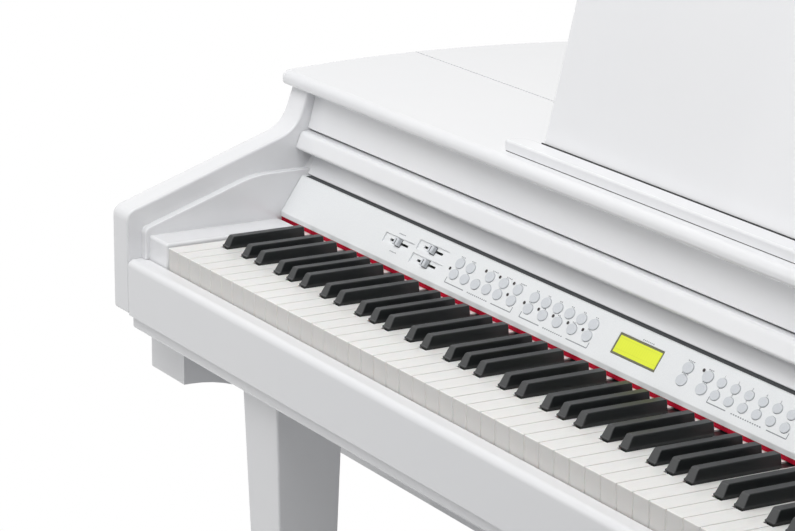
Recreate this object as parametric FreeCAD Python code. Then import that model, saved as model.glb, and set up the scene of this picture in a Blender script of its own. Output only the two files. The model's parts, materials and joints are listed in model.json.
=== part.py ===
import FreeCAD, Part
import math
import os

# Digital grand piano: bowed cabinet on three tapered legs, 88 keys, sliding key cover, hinged lid,
# folding music desk and a pedal lyre. Millimetres, +Z up, +Y towards the back, origin on the
# floor under the middle of the whole outline.

V = FreeCAD.Vector

# Keyboard
white_count = 52
white_pitch = 23.5
white_gap = 1.0
white_thick = 27.0
white_head = 48.5
black_front = 50.0
black_length = 86.0
black_base = 12.4
black_crown = 9.6
black_height = 12.0
black_slot_clear = 0.6
key_pivot_depth = 225.0
key_pivot_drop = 12.0
key_tail = 9.0
key_rod_radius = 3.0
frame_sheet = 3.0
rest_width = 30.0
rest_height = 38.0
ear_half = 8.0
running_clear = 0.05
key_top = 730.0

# Ends of the keyboard
block_gap = 4.0
block_width = 40.0
block_height = 3.0
cheek_thick = 10.0
cheek_front = -4.5
cheek_rise = 10.9
cheek_level = 51.2
cheek_nose_radius = 8.0
cheek_bend_radius = 108.0
cheek_round = 1.5
arm_thick = 36.0
arm_front = -20.0
arm_drop = 80.0
arm_slope = 18.76
arm_rise = 32.8
arm_nose_radius = 12.0
arm_sweep_radius = 38.0
neck_angle = 70.0
tongue_over = 10.0
arm_outer_round = 8.0
arm_inner_round = 2.5

# Key slip and keybed
slip_top_drop = 22.0
slip_gap = 1.5
slip_round = 7.0
keybed_thick = 15.0
keybed_recess = 5.0
keybed_back = 232.0
keybed_round = 4.0
block_round = 3.0

# Cabinet
lid_rise = 131.0
lid_thick = 15.0
lid_front = 176.0
lid_radius = 600.0
lid_bow = 26.0
lid_bow_depth = 325.0
lid_overhang = 10.0
lid_edge_round = 8.0
lid_low_round = 5.0
lid_corner_round = 10.0
seam_depth = 343.0
seam_gap = 1.5
buffer_height = 2.0
buffer_radius = 6.0
buffer_places = (20.0, 60.0)
rim_thick = 20.0
case_drop = 205.0
board_thick = 18.0
deck_drop = 110.0
deck_thick = 12.0
deck_front = 240.0
apron_front = 137.0
beam_front = 20.0
beam_width = 78.0
beam_inset = 2.0
beam_drop = 148.0
beam_sweep_radius = 145.0
beam_toe = 8.0
beam_round = 2.0
fit_gap = 0.3
end_gap = 0.5

# Control panel, felt and the strips above it
panel_foot = (148.6, 10.0)
panel_tilt = 55.4
panel_length = 42.2
panel_lip = 5.0
panel_sheet = 3.0
panel_round = 1.5
panel_return = 14.0
panel_crest = 2.0
felt_thick = 2.5
felt_clear = 0.6
felt_setback = 0.3
strip_front = 179.0
strip_low = 45.5
strip_high = 67.0
strip_lean = 31.0
strip_thick = 18.0
fascia_front = 185.0
fascia_low = 91.0
fascia_lean = 14.7
fascia_thick = 12.0

# Controls on the panel: places along the keyboard from the first key, and up the slope
button_length = 14.6
button_width = 10.6
button_clear = 0.3
button_proud = 0.9
button_round = 0.6
keypad_length = 12.4
keypad_width = 9.0
button_depth = 6.0
upper_row = 27.6
lower_row = 15.7
row_pitch = 20.0
wide_pitch = 25.0
board_depth = 7.5
board_sheet = 1.6
board_low = 8.0
board_margin = 30.0
board_post = 2.5
board_posts = (204.0, 268.0, 412.0, 551.0, 656.0, 718.0, 848.0)
knob_places = ((180.5, 21.2), (241.0, 28.3), (241.0, 13.7))
knob_length = 8.5
knob_width = 7.5
knob_height = 3.2
knob_travel = 15.5
stem_length = 3.0
stem_width = 1.4
slot_clear = 0.5
recess_length = 56.0
recess_width = 10.0
recess_depth = 1.5
screen_place = (604.5, 21.7)
screen_length = 69.0
screen_width = 20.0
screen_sink = 0.6

# Sliding key cover
rail_front = 170.0
rail_low = 70.5
rail_high = 89.0
rail_depth = 20.0
rail_heel = 7.0
rail_lean = 7.5
rail_toe = 6.0
cover_sheet = 4.0
cover_axis_depth = 385.0
cover_axis_rise = 84.0
cover_shaft_radius = 4.0
cover_hub_radius = 6.3
roller_radius = 6.0
roller_width = 7.5
track_width = 8.5
track_thick = 4.0
track_start = 196.0
track_end = 400.0
bracket_length = 30.0
bracket_reach = 24.0
bracket_thick = 4.0
bracket_places = (-489.0, 0.0, 489.0)
sheet_gap = 9.0

# Lid hinge and prop
hinge_radius = 4.0
hinge_inset = 5.0
hinge_drop = 5.0
hinge_pin_radius = 2.0
hinge_length = 50.0
hinge_places = (377.0, 437.0)
leaf_thick = 1.6
lid_leaf_width = 26.0
case_leaf_width = 30.0
case_leaf_height = 32.0
knuckle_gap = 0.2
knuckle_room = 0.4
prop_depth = 520.0
prop_drop = 11.0
prop_reach = 612.0
prop_width = 10.0
prop_height = 12.0
prop_pin_radius = 3.0
prop_socket_rise = 86.0
prop_socket_height = 24.0
prop_socket_reach = 26.0
prop_socket_width = 30.0
clevis_length = 16.0
clevis_plate = 28.0
clevis_sheet = 2.0
clevis_ear = 3.0
clevis_drop = 7.0

# Music desk
ledge_front = 192.0
ledge_depth = 22.0
ledge_height = 10.5
ledge_half = 285.0
ledge_nose = 3.0
ledge_heel = 18.0
desk_gap = 0.8
ledge_round = 2.5
desk_half = 253.5
desk_height = 300.0
desk_thick = 12.0
desk_lean = 14.0
desk_axis_rise = 7.0
desk_pin_radius = 2.0
knuckle_radius = 4.0
knuckle_width = 20.0
desk_pin_grip = 15.0
desk_corner_round = 12.0
desk_edge_round = 2.5
notch_clear = 1.0
knuckle_places = (-150.0, 150.0)

# Legs, pedals and lyre
leg_top = 72.0
leg_foot = 36.0
leg_centre = 413.0
leg_depth = 36.0
rear_leg_depth = 770.0
foot_height = 35.0
pad_radius = 20.0
pad_height = 8.0
stem_radius = 6.0
lyre_half = 150.0
lyre_front = 175.0
lyre_depth = 110.0
lyre_low = 45.0
lyre_high = 130.0
lyre_wall = 12.0
lyre_round = 6.0
post_round = 4.0
leg_round = 2.0
post_place = 62.0
post_size = 30.0
pedal_pitch = 70.0
pedal_width = 28.0
pedal_toe_length = 56.0
pedal_lever_width = 16.8
pedal_thick = 8.0
pedal_rise = 66.0
pedal_reach = 80.0
pedal_clear = 3.0
pedal_axis_depth = 255.0
pedal_rod_radius = 4.0
pedal_fall = 16.0

# Inside the cabinet
speaker_place = 330.0
speaker_depth = 640.0
speaker_radius = 88.0
speaker_height = 60.0
basket_lip = 4.0
basket_seat = 6.0
cone_wall = 6.0
cone_depth = 40.0
magnet_height = 22.0
magnet_radius = 45.0
inlet_place = -60.0
inlet_drop = 160.0
inlet_width = 30.0
inlet_height = 22.0
inlet_flange = 3.0
inlet_wall = 3.0
inlet_length = 28.0
main_board_depth = 330.0
main_board_length = 320.0
main_board_width = 180.0
main_board_edge = 10.0
stand_height = 8.0
stand_radius = 4.0
# Parts on the main board: place along it and across it, then length, width and height
board_parts = (
    (-90.0, 60.0, 60.0, 60.0, 25.0),
    (40.0, 80.0, 40.0, 40.0, 4.0),
    (115.0, 135.0, 50.0, 50.0, 31.0),
)

# Sizes worked out from the ones above
keys_half = white_count * white_pitch / 2
block_inner = keys_half + block_gap
cheek_inner = block_inner + block_width
arm_inner = cheek_inner + cheek_thick
arm_outer = arm_inner + arm_thick
lid_half = arm_outer + lid_bow
arc_x = lid_half - lid_radius
rim_radius = lid_radius - lid_overhang
total_depth = lid_bow_depth + lid_radius - arm_front
key_front = -total_depth / 2 - arm_front
arc_y = key_front + lid_bow_depth
lid_low = key_top + lid_rise
lid_high = lid_low + lid_thick
rim_top = lid_low - buffer_height
case_low = key_top - case_drop
keybed_top = key_top - arm_drop
keybed_low = keybed_top - keybed_thick
join_y = arc_y - math.sqrt(rim_radius ** 2 - (arm_outer - arc_x) ** 2)
seam_y = key_front + seam_depth
panel_cos = math.cos(math.radians(panel_tilt))
panel_sin = math.sin(math.radians(panel_tilt))
panel_up = V(0, panel_cos, panel_sin)
panel_out = V(0, -panel_sin, panel_cos)


# Basic shapes

def box(x0, x1, y0, y1, z0, z1):
    return Part.makeBox(x1 - x0, y1 - y0, z1 - z0, V(x0, y0, z0))


def rod_x(x0, x1, y, z, radius):
    return Part.makeCylinder(radius, x1 - x0, V(x0, y, z), V(1, 0, 0))


def rod_y(x, y0, y1, z, radius):
    return Part.makeCylinder(radius, y1 - y0, V(x, y0, z), V(0, 1, 0))


def rod_z(x, y, z0, z1, radius):
    return Part.makeCylinder(radius, z1 - z0, V(x, y, z0), V(0, 0, 1))


def mirrored(shape):
    return shape.mirror(V(0, 0, 0), V(1, 0, 0))


def both(shape):
    return [shape, mirrored(shape)]


def profile_edges(corners):
    """Lines through (depth, rise, radius) corners, each rounded with its own radius."""
    points = [V(0, key_front + c[0], key_top + c[1]) for c in corners]
    edges = []
    starts = []
    ends = []
    for i, point in enumerate(points):
        before = (points[i - 1] - point).normalize()
        after = (points[(i + 1) % len(points)] - point).normalize()
        radius = corners[i][2]
        if radius == 0:
            starts.append(point)
            ends.append(point)
            continue
        half = before.getAngle(after) / 2
        cut = radius / math.tan(half)
        first = point + before * cut
        last = point + after * cut
        bisector = (before + after).normalize()
        middle = point + bisector * (radius / math.sin(half) - radius)
        starts.append(first)
        ends.append(last)
        edges.append(Part.Arc(first, middle, last).toShape())
    for i, end in enumerate(ends):
        following = starts[(i + 1) % len(starts)]
        if end.distanceToPoint(following) > 1e-6:
            edges.append(Part.LineSegment(end, following).toShape())
    return edges


def side_prism(corners, x0, x1):
    """Solid with a side profile, from x0 to x1. Corners are (depth, rise[, radius])."""
    full = [c if len(c) == 3 else (c[0], c[1], 0) for c in corners]
    wire = Part.Wire(Part.__sortEdges__(profile_edges(full)))
    face = Part.Face(wire)
    solid = face.extrude(V(x1 - x0, 0, 0))
    solid.translate(V(x0, 0, 0))
    return solid


def bowed_plate(radius, y0, z0, z1):
    """Plate with the cabinet's bowed outline, from y0 to the back."""
    side = arc_x + math.sqrt(radius ** 2 - (arc_y - y0) ** 2)
    left = V(-side, y0, z0)
    right = V(side, y0, z0)
    back_left = V(-arc_x, arc_y + radius, z0)
    back_right = V(arc_x, arc_y + radius, z0)
    middle = math.sqrt(0.5) * radius
    left_bulge = V(-arc_x - middle, arc_y + middle, z0)
    right_bulge = V(arc_x + middle, arc_y + middle, z0)
    edges = [
        Part.LineSegment(right, left).toShape(),
        Part.Arc(left, left_bulge, back_left).toShape(),
        Part.LineSegment(back_left, back_right).toShape(),
        Part.Arc(back_right, right_bulge, right).toShape(),
    ]
    return Part.Face(Part.Wire(edges)).extrude(V(0, 0, z1 - z0))


def tapered_leg(x, y, z0, z1, low_size, high_size):
    """Square leg, low_size across at z0 and high_size across at z1."""
    rings = []
    for z, size in ((z0, low_size), (z1, high_size)):
        h = size / 2
        corners = [V(x - h, y - h, z), V(x + h, y - h, z), V(x + h, y + h, z), V(x - h, y + h, z)]
        rings.append(Part.makePolygon(corners + [corners[0]]))
    return Part.makeLoft(rings, True, True)


def round_edges(shape, radius, wanted):
    """Round the edges for which wanted(edge, middle point) is true."""
    chosen = []
    for edge in shape.Edges:
        middle = edge.valueAt((edge.FirstParameter + edge.LastParameter) / 2)
        if wanted(edge, middle):
            chosen.append(edge)
    if not chosen:
        raise ValueError("no edge to round")
    return shape.makeFillet(radius, chosen)


def near(a, b):
    return abs(a - b) < 0.01


def on_panel(x, up, out):
    """Point at x, a distance up the control panel's slope and out of its face."""
    foot = V(x, key_front + panel_foot[0], key_top + panel_foot[1])
    return foot + panel_up * up + panel_out * out


def panel_box(x, up, length, width, out0, out1):
    """Box square to the control panel's face, centred on x and up."""
    corner = on_panel(x - length / 2, up - width / 2, out0)
    solid = Part.makeBox(length, width, out1 - out0)
    solid.Placement = FreeCAD.Placement(corner, FreeCAD.Rotation(V(1, 0, 0), panel_tilt))
    return solid


def panel_rod(x, up, radius, out0, out1):
    return Part.makeCylinder(radius, out1 - out0, on_panel(x, up, out0), panel_out)


def panel_oval(x, up, length, width, out0, out1):
    outline = Part.Ellipse(on_panel(x + length / 2, up, out0), on_panel(x, up + width / 2, out0),
                           on_panel(x, up, out0))
    return Part.Face(Part.Wire(outline.toShape())).extrude(panel_out * (out1 - out0))


def strip_face(rise):
    """Depth of the trim strip's leaning front at a given rise."""
    return strip_front + (rise - strip_low) * math.tan(math.radians(strip_lean))


def along(distance):
    """Place along the keyboard, from the left end of the first white key."""
    return distance - keys_half


def save(name, *shapes):
    solids = []
    for shape in shapes:
        solids.extend(shape.removeSplitter().Solids)
    for solid in solids:
        if not solid.isValid() or solid.Volume <= 0:
            raise ValueError(name + " has a bad solid")
    if len(solids) == 1:
        solids[0].exportStep("parts/" + name + ".step")
    else:
        Part.makeCompound(solids).exportStep("parts/" + name + ".step")
    print(name, len(solids), round(sum(s.Volume for s in solids) / 1000), "cm3")


# Cabinet

def arm_profile():
    slope = math.tan(math.radians(arm_slope))
    neck = math.tan(math.radians(neck_angle))
    neck_foot = join_y - key_front - arm_inner_round
    top = lid_rise
    nose_rise = arm_rise + slope * arm_front
    corner = (neck * neck_foot - top + arm_rise) / (neck - slope)
    back = join_y - key_front
    return [
        (arm_front, -arm_drop, 4.0),
        (arm_front, nose_rise, arm_nose_radius),
        (corner, arm_rise + slope * corner, arm_sweep_radius),
        (neck_foot, top),
        (back, top),
        (back, -arm_drop),
    ]


def side_arms():
    arm = side_prism(arm_profile(), arm_inner, arm_outer)

    def outer_rim(edge, p):
        return near(p.x, arm_outer) and p.y < join_y - 1 and p.z < lid_low - 1 and p.z > keybed_top + 1

    def inner_rim(edge, p):
        return near(p.x, arm_inner) and p.y < join_y - 1 and p.z < lid_low - 1 and p.z > keybed_top + 1

    arm = round_edges(arm, arm_outer_round / 2, outer_rim)
    arm = round_edges(arm, arm_inner_round, inner_rim)
    tongue_end = key_front + track_end + tongue_over
    rim_inner = arc_x + math.sqrt((rim_radius - rim_thick) ** 2 - (arc_y - join_y) ** 2)
    tongue = box(arm_inner, rim_inner - fit_gap, join_y - 1, tongue_end, keybed_top, lid_low)
    step = box(arm_inner - 1, arm_outer, seam_y - 2, tongue_end + 1, rim_top, lid_low + 1)
    arm = arm.fuse(tongue).cut(step)
    return both(arm)


def rim_ring():
    outer = bowed_plate(rim_radius, join_y, case_low, rim_top)
    inner = bowed_plate(rim_radius - rim_thick, join_y, case_low - 1, rim_top + 1)
    return outer.cut(inner)


def rim_pieces():
    ring = rim_ring()
    far = 2 * lid_half
    right = ring.common(box(arc_x, far, join_y - 1, far, 0, far))
    back = ring.common(box(-arc_x, arc_x, arc_y, far, 0, far))
    return right, back


def inlet_hole(grow, y0, y1):
    half_w = inlet_width / 2 + grow
    half_h = inlet_height / 2 + grow
    z = key_top - inlet_drop
    return box(inlet_place - half_w, inlet_place + half_w, y0, y1, z - half_h, z + half_h)


def bottom_board():
    inside = rim_radius - rim_thick - fit_gap
    plate = bowed_plate(inside, join_y + fit_gap, case_low, case_low + board_thick)
    front = key_front + apron_front + board_thick
    half = arm_outer - beam_inset - beam_width - fit_gap
    tongue = box(-half, half, front, join_y + 1, case_low, case_low + board_thick)
    return plate.fuse(tongue)


def speaker_deck():
    top = key_top - deck_drop
    inside = rim_radius - rim_thick - fit_gap
    plate = bowed_plate(inside, key_front + deck_front, top - deck_thick, top)
    for x in (-speaker_place, speaker_place):
        hole = speaker_radius - basket_seat
        plate = plate.cut(rod_z(x, key_front + speaker_depth, top - deck_thick - 1, top + 1, hole))
    return plate


def front_apron():
    half = arm_outer - beam_inset - beam_width - fit_gap
    y = key_front + apron_front
    return box(-half, half, y, y + board_thick, case_low, keybed_low)


def side_beams():
    outer = arm_outer - beam_inset
    inner = outer - beam_width
    drop = case_drop - beam_drop
    reach = math.sqrt(beam_sweep_radius ** 2 - (beam_sweep_radius - drop) ** 2)
    start = beam_front + beam_toe
    y0 = key_front + start
    z0 = key_top - beam_drop
    curve_mid_angle = math.asin(reach / beam_sweep_radius) / 2
    curve_mid = V(0, y0 + beam_sweep_radius * math.sin(curve_mid_angle),
                  z0 - beam_sweep_radius * (1 - math.cos(curve_mid_angle)))
    curve_end = V(0, y0 + reach, case_low)
    points = [
        V(0, key_front + beam_front, keybed_low),
        V(0, key_front + beam_front, z0),
        V(0, y0, z0),
    ]
    edges = [Part.LineSegment(points[i], points[i + 1]).toShape() for i in range(2)]
    edges.append(Part.Arc(points[2], curve_mid, curve_end).toShape())
    rest = [curve_end, V(0, join_y - fit_gap, case_low), V(0, join_y - fit_gap, keybed_low), points[0]]
    edges += [Part.LineSegment(rest[i], rest[i + 1]).toShape() for i in range(3)]
    beam = Part.Face(Part.Wire(edges)).extrude(V(beam_width, 0, 0))
    beam.translate(V(inner, 0, 0))
    front = key_front + beam_front
    shoulder = box(arm_inner + fit_gap, outer, front, join_y - fit_gap, keybed_low - 1, keybed_top)
    beam = beam.fuse(shoulder).removeSplitter()
    beam = round_edges(beam, beam_round, lambda e, p: near(p.y, front) and near(p.x, outer))
    return both(beam)


def keybed():
    y0 = key_front + arm_front + keybed_recess
    plate = box(-arm_inner, arm_inner, y0, key_front + keybed_back, keybed_low, keybed_top)
    return round_edges(plate, keybed_round, lambda e, p: near(p.y, y0) and near(p.z, keybed_low))


def key_slip():
    y0 = key_front + arm_front
    half = arm_inner - end_gap
    top = key_top - slip_top_drop
    slip = box(-half, half, y0, key_front - slip_gap, keybed_top, top)
    return round_edges(slip, slip_round, lambda e, p: near(p.y, y0) and near(p.z, top))


def key_blocks():
    back = key_front + panel_foot[0] - block_gap
    block = box(block_inner, cheek_inner, key_front, back, keybed_top, key_top + block_height)

    def top_edge(edge, p):
        front_top = near(p.y, key_front) and near(p.z, key_top + block_height)
        side_top = near(p.x, block_inner) and near(p.z, key_top + block_height)
        front_side = near(p.y, key_front) and near(p.x, block_inner)
        return front_top or side_top or front_side

    return both(round_edges(block, block_round, top_edge))


def cheek_panels():
    slope = math.tan(math.radians(arm_slope - 0.2))
    level_at = (cheek_level - cheek_rise) / slope
    step_foot = strip_face(cheek_level)
    back = strip_front + strip_thick + panel_sheet
    corners = [
        (cheek_front, -slip_top_drop + end_gap),
        (cheek_front, cheek_rise + slope * cheek_front, cheek_nose_radius),
        (level_at, cheek_level, cheek_bend_radius),
        (step_foot, cheek_level, 1.0),
        (strip_face(strip_high), strip_high, 1.5),
        (back, strip_high),
        (back, -arm_drop),
        (-slip_gap + end_gap, -arm_drop),
        (-slip_gap + end_gap, -slip_top_drop + end_gap),
    ]
    cheek = side_prism(corners, cheek_inner, arm_inner)

    def top_edge(edge, p):
        over_block = p.z > key_top + block_height + 1
        return near(p.x, cheek_inner) and over_block and p.y < key_front + step_foot - 1

    return both(round_edges(cheek, cheek_round, top_edge))


# Control panel and its controls

def left_buttons():
    places = [(294.0, lower_row), (294.5, upper_row), (314.0, upper_row), (398.5, lower_row)]
    places += [(314.0 + row_pitch * i, lower_row) for i in range(4)]
    places += [(349.5 + wide_pitch * i, upper_row) for i in range(3)]
    return places


def middle_buttons():
    places = [(429.0 + row_pitch * i, upper_row) for i in range(6)]
    places += [(428.5 + wide_pitch * i, lower_row) for i in range(5)]
    return places


def right_buttons():
    return [(x, row) for x in (678.3, 708.0) for row in (upper_row, lower_row)]


def keypad_buttons():
    return [(728.3 + row_pitch * i, row) for i in range(6) for row in (upper_row, lower_row)]


def button_sizes():
    """Every button with its length and width, group by group."""
    wide = (button_length, button_width)
    small = (keypad_length, keypad_width)
    left = [spot + wide for spot in left_buttons()]
    middle = [spot + wide for spot in middle_buttons()]
    right = [spot + wide for spot in right_buttons()] + [spot + small for spot in keypad_buttons()]
    return left, middle, right


def control_panel():
    """Sheet bent along its foot and its head, with holes for the controls."""
    foot_y, foot_z = panel_foot
    head_y = foot_y + panel_length * panel_cos
    head_z = foot_z + panel_length * panel_sin
    corners = [
        (foot_y, panel_lip),
        (foot_y, foot_z, panel_round),
        (head_y, head_z, panel_crest),
        (head_y + panel_return, head_z),
        (head_y + panel_return, head_z - panel_sheet),
        (head_y + panel_sheet * (1 - panel_cos) / panel_sin, head_z - panel_sheet),
        (foot_y + panel_sheet, foot_z - panel_sheet * (1 - panel_sin) / panel_cos),
        (foot_y + panel_sheet, panel_lip),
    ]
    half = cheek_inner - end_gap
    panel = side_prism(corners, -half, half)
    under = -panel_sheet - 2
    tools = []
    for place, row, length, width in sum(button_sizes(), []):
        tools.append(panel_oval(along(place), row, length + 2 * button_clear, width + 2 * button_clear,
                                under, 2))
    for place, row in knob_places:
        length = 2 * knob_travel + stem_length + 2 * slot_clear
        tools.append(panel_box(along(place), row, length, stem_width + 2 * slot_clear, under, 2))
        tools.append(panel_box(along(place), row, recess_length, recess_width, -recess_depth, 2))
    x, row = screen_place
    tools.append(panel_box(along(x), row, screen_length + 2 * fit_gap, screen_width + 2 * fit_gap, under, 2))
    return panel.cut(tools)


def buttons(places):
    caps = []
    for place, row, length, width in places:
        cap = panel_oval(along(place), row, length, width, -button_depth, button_proud)
        crown = on_panel(along(place), row, button_proud)
        cap = round_edges(cap, button_round, lambda e, p: abs((p - crown).dot(panel_out)) < 0.01)
        caps.append(cap)
    return caps


def slider_knob(place, row):
    x = along(place)
    seat = fit_gap - recess_depth
    cap = panel_box(x, row, knob_length, knob_width, seat, knob_height)
    crown = on_panel(x, row, knob_height)
    cap = round_edges(cap, 1.0, lambda e, p: abs((p - crown).dot(panel_out)) < 0.01)
    stem = panel_box(x, row, stem_length, stem_width, -button_depth, seat + 1)
    return cap.fuse(stem)


def screen():
    x, row = screen_place
    return panel_box(along(x), row, screen_length, screen_width, -board_depth, -screen_sink)


def control_board():
    first = knob_places[0][0] - board_margin
    last = keypad_buttons()[-1][0] + board_margin
    middle = (first + last) / 2
    low = board_low
    high = panel_length - panel_sheet - 1
    board = panel_box(along(middle), (low + high) / 2, last - first, high - low,
                      -board_depth - board_sheet, -board_depth)
    row = (upper_row + lower_row) / 2
    posts = [panel_rod(along(x), row, board_post, -board_depth - 1, -panel_sheet) for x in board_posts]
    return board.fuse(posts)


def key_felt():
    y0 = key_front + panel_foot[0] + felt_setback
    half = cheek_inner - end_gap
    return box(-half, half, y0, y0 + felt_thick, key_top + felt_clear, key_top + panel_lip)


def trim_strip():
    back = strip_front + strip_thick
    corners = [
        (strip_front, strip_low, 1.0),
        (strip_face(strip_high), strip_high, 1.5),
        (back, strip_high),
        (back, strip_low),
    ]
    half = cheek_inner - end_gap
    return side_prism(corners, -half, half)


def fascia_board():
    lean = math.tan(math.radians(fascia_lean))
    across = fascia_thick / math.cos(math.radians(fascia_lean))
    shift = lean * (lid_rise - fascia_low)
    corners = [
        (fascia_front, fascia_low, 1.5),
        (fascia_front + shift, lid_rise),
        (fascia_front + shift + across, lid_rise),
        (fascia_front + across, fascia_low),
    ]
    half = arm_inner - end_gap
    return side_prism(corners, -half, half)


# Lid

def lid_outline():
    y0 = key_front + lid_front
    plate = bowed_plate(lid_radius, y0, lid_low, lid_high)
    plate = round_edges(plate, lid_corner_round, lambda e, p: near(p.y, y0) and abs(p.z - lid_low) > 1
                        and abs(p.z - lid_high) > 1)
    plate = round_edges(plate, lid_edge_round, lambda e, p: near(p.z, lid_high))
    return round_edges(plate, lid_low_round, lambda e, p: near(p.z, lid_low))


def lid_boards():
    far = 2 * lid_half
    outline = lid_outline()
    board = outline.common(box(-far, far, -far, seam_y - seam_gap / 2, 0, far))
    lid = outline.common(box(-far, far, seam_y + seam_gap / 2, far, 0, far))
    return board, lid


def hinge_axis():
    return -(lid_half - hinge_inset), lid_low - hinge_drop


def lid_hinges():
    """Butt hinges: leaf blocks on the case, leaves under the lid and their pins."""
    x, z = hinge_axis()
    knuckle = hinge_length / 5
    case_leaves = []
    lid_leaves = []
    pins = []
    far = 2 * lid_half
    outside = bowed_plate(rim_radius + fit_gap, join_y, 0, far)
    for depth in hinge_places:
        y0 = key_front + depth - hinge_length / 2
        bore = rod_y(x, y0 - 1, y0 + hinge_length + 1, z, hinge_pin_radius + running_clear)
        inner = x + hinge_radius / 2
        case_leaf = box(inner, inner + case_leaf_width, y0, y0 + hinge_length, z - case_leaf_height, z)
        case_leaf = case_leaf.cut(outside)
        lid_leaf = box(x, x + lid_leaf_width, y0, y0 + hinge_length, lid_low - leaf_thick, lid_low)
        riser = box(x - hinge_radius / 2, inner, y0, y0 + hinge_length, z, lid_low)
        lid_leaf = lid_leaf.fuse(riser)
        for i in range(5):
            a = y0 + knuckle * i
            tube = rod_y(x, a + knuckle_gap, a + knuckle - knuckle_gap, z, hinge_radius)
            gap = rod_y(x, a - knuckle_gap, a + knuckle + knuckle_gap, z, hinge_radius + knuckle_room)
            if i % 2 == 0:
                lid_leaf = lid_leaf.cut(gap)
                case_leaf = case_leaf.fuse(tube)
            else:
                case_leaf = case_leaf.cut(gap)
                lid_leaf = lid_leaf.fuse(tube)
        case_leaves.append(case_leaf.cut(bore))
        lid_leaves.append(lid_leaf.cut(bore))
        pins.append(rod_y(x, y0, y0 + hinge_length, z, hinge_pin_radius))
    return case_leaves, lid_leaves, pins


def lid_buffers():
    """Rubber buffers along the top of the rim."""
    pads = []
    middle = rim_radius - rim_thick / 2
    for degrees in buffer_places:
        a = math.radians(degrees)
        x = arc_x + middle * math.cos(a)
        y = arc_y + middle * math.sin(a)
        pads += both(rod_z(x, y, rim_top, lid_low, buffer_radius))
    return pads


def lid_prop():
    x = keys_half
    y = key_front + prop_depth
    z = lid_low - prop_drop
    h = prop_height / 2
    bar = box(x - prop_reach, x, y - prop_width / 2, y + prop_width / 2, z - h, z + h)
    for end in (x, x - prop_reach):
        bar = bar.fuse(rod_y(end, y - prop_width / 2, y + prop_width / 2, z, h))
    hole = rod_y(x, y - prop_width, y + prop_width, z, prop_pin_radius + running_clear)
    return bar.removeSplitter().cut(hole)


def prop_bracket():
    """Clevis under the lid that carries the prop, with its pin."""
    x = keys_half
    y = key_front + prop_depth
    z = lid_low - prop_drop
    inner = prop_width / 2 + fit_gap
    outer = inner + clevis_ear
    long = clevis_plate / 2
    short = clevis_length / 2
    ears = [box(x - short, x + short, y + a, y + b, z - clevis_drop, lid_low)
            for a, b in ((-outer, -inner), (inner, outer))]
    plate = box(x - long, x + long, y - outer, y + outer, lid_low - clevis_sheet, lid_low)
    clevis = plate.fuse(ears)
    hole = rod_y(x, y - outer - 1, y + outer + 1, z, prop_pin_radius + running_clear)
    pin = rod_y(x, y - outer, y + outer, z, prop_pin_radius)
    return [clevis.cut(hole), pin]


def prop_socket():
    """Block on the inside of the rim that takes the prop's foot."""
    y = key_front + prop_depth
    inside = rim_radius - rim_thick - fit_gap
    wall = arc_x + math.sqrt(inside ** 2 - (y - arc_y) ** 2)
    top = key_top + prop_socket_rise
    half = prop_socket_width / 2
    low = top - prop_socket_height
    block = box(wall - prop_socket_reach, wall + rim_thick, y - half, y + half, low, top)
    room = bowed_plate(inside, join_y, 0, 2 * lid_half)
    return block.common(room)


# Music desk

def desk_ledge():
    """Bar in front of the desk's foot, its back corners rounded almost to the front."""
    y0 = key_front + ledge_front
    y1 = y0 + ledge_depth
    top = lid_high + ledge_height
    bar = box(-ledge_half, ledge_half, y0, y1, lid_high, top)
    bar = round_edges(bar, ledge_heel, lambda e, p: near(p.y, y1) and near(abs(p.x), ledge_half)
                      and near(p.z, lid_high + ledge_height / 2))
    bar = round_edges(bar, ledge_nose, lambda e, p: near(p.y, y0) and near(abs(p.x), ledge_half)
                      and near(p.z, lid_high + ledge_height / 2))
    return round_edges(bar, ledge_round, lambda e, p: near(p.z, top))


def desk_axis():
    depth = ledge_front + ledge_depth + desk_gap + desk_thick / 2
    return key_front + depth, lid_high + desk_axis_rise


def music_desk():
    y, z = desk_axis()
    h = desk_thick / 2
    panel = box(-desk_half, desk_half, y - h, y + h, z, z + desk_height)
    panel = panel.fuse(rod_x(-desk_half, desk_half, y, z, h)).removeSplitter()
    top = z + desk_height
    panel = round_edges(panel, desk_corner_round, lambda e, p: near(abs(p.x), desk_half) and near(p.z, top))
    panel = round_edges(panel, desk_edge_round, lambda e, p: near(p.y, y - h) and p.z > z + 1
                        or near(p.y, y + h) and p.z > z + 1)
    for x in knuckle_places:
        half = knuckle_width / 2 + notch_clear
        room = knuckle_radius + fit_gap
        panel = panel.cut(box(x - half, x + half, y - room, y + h + 1, z - h - 1, z + room))
        pin_half = half + desk_pin_grip + 1
        panel = panel.cut(rod_x(x - pin_half, x + pin_half, y, z, desk_pin_radius + running_clear))
    panel.rotate(V(0, y, z), V(1, 0, 0), -desk_lean)
    return panel


def desk_hinges():
    """Knuckle blocks on the top board and the pins that carry the desk."""
    y, z = desk_axis()
    half = knuckle_width / 2
    pieces = []
    for x in knuckle_places:
        block = box(x - half, x + half, y - knuckle_radius, y + knuckle_radius, lid_high, z)
        block = block.fuse(rod_x(x - half, x + half, y, z, knuckle_radius))
        block = block.cut(rod_x(x - half - 1, x + half + 1, y, z, desk_pin_radius + running_clear))
        pieces.append(block)
        pin_half = half + notch_clear + desk_pin_grip
        pieces.append(rod_x(x - pin_half, x + pin_half, y, z, desk_pin_radius))
    return pieces


# Sliding key cover

def cover_rail():
    corners = [
        (rail_front, rail_low, 3.0),
        (rail_front + rail_lean, rail_high, 6.0),
        (rail_front + rail_depth, rail_high, 1.0),
        (rail_front + rail_depth, rail_low + rail_heel),
        (rail_front + rail_toe, rail_low),
    ]
    half = arm_inner - end_gap
    return side_prism(corners, -half, half)


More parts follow.
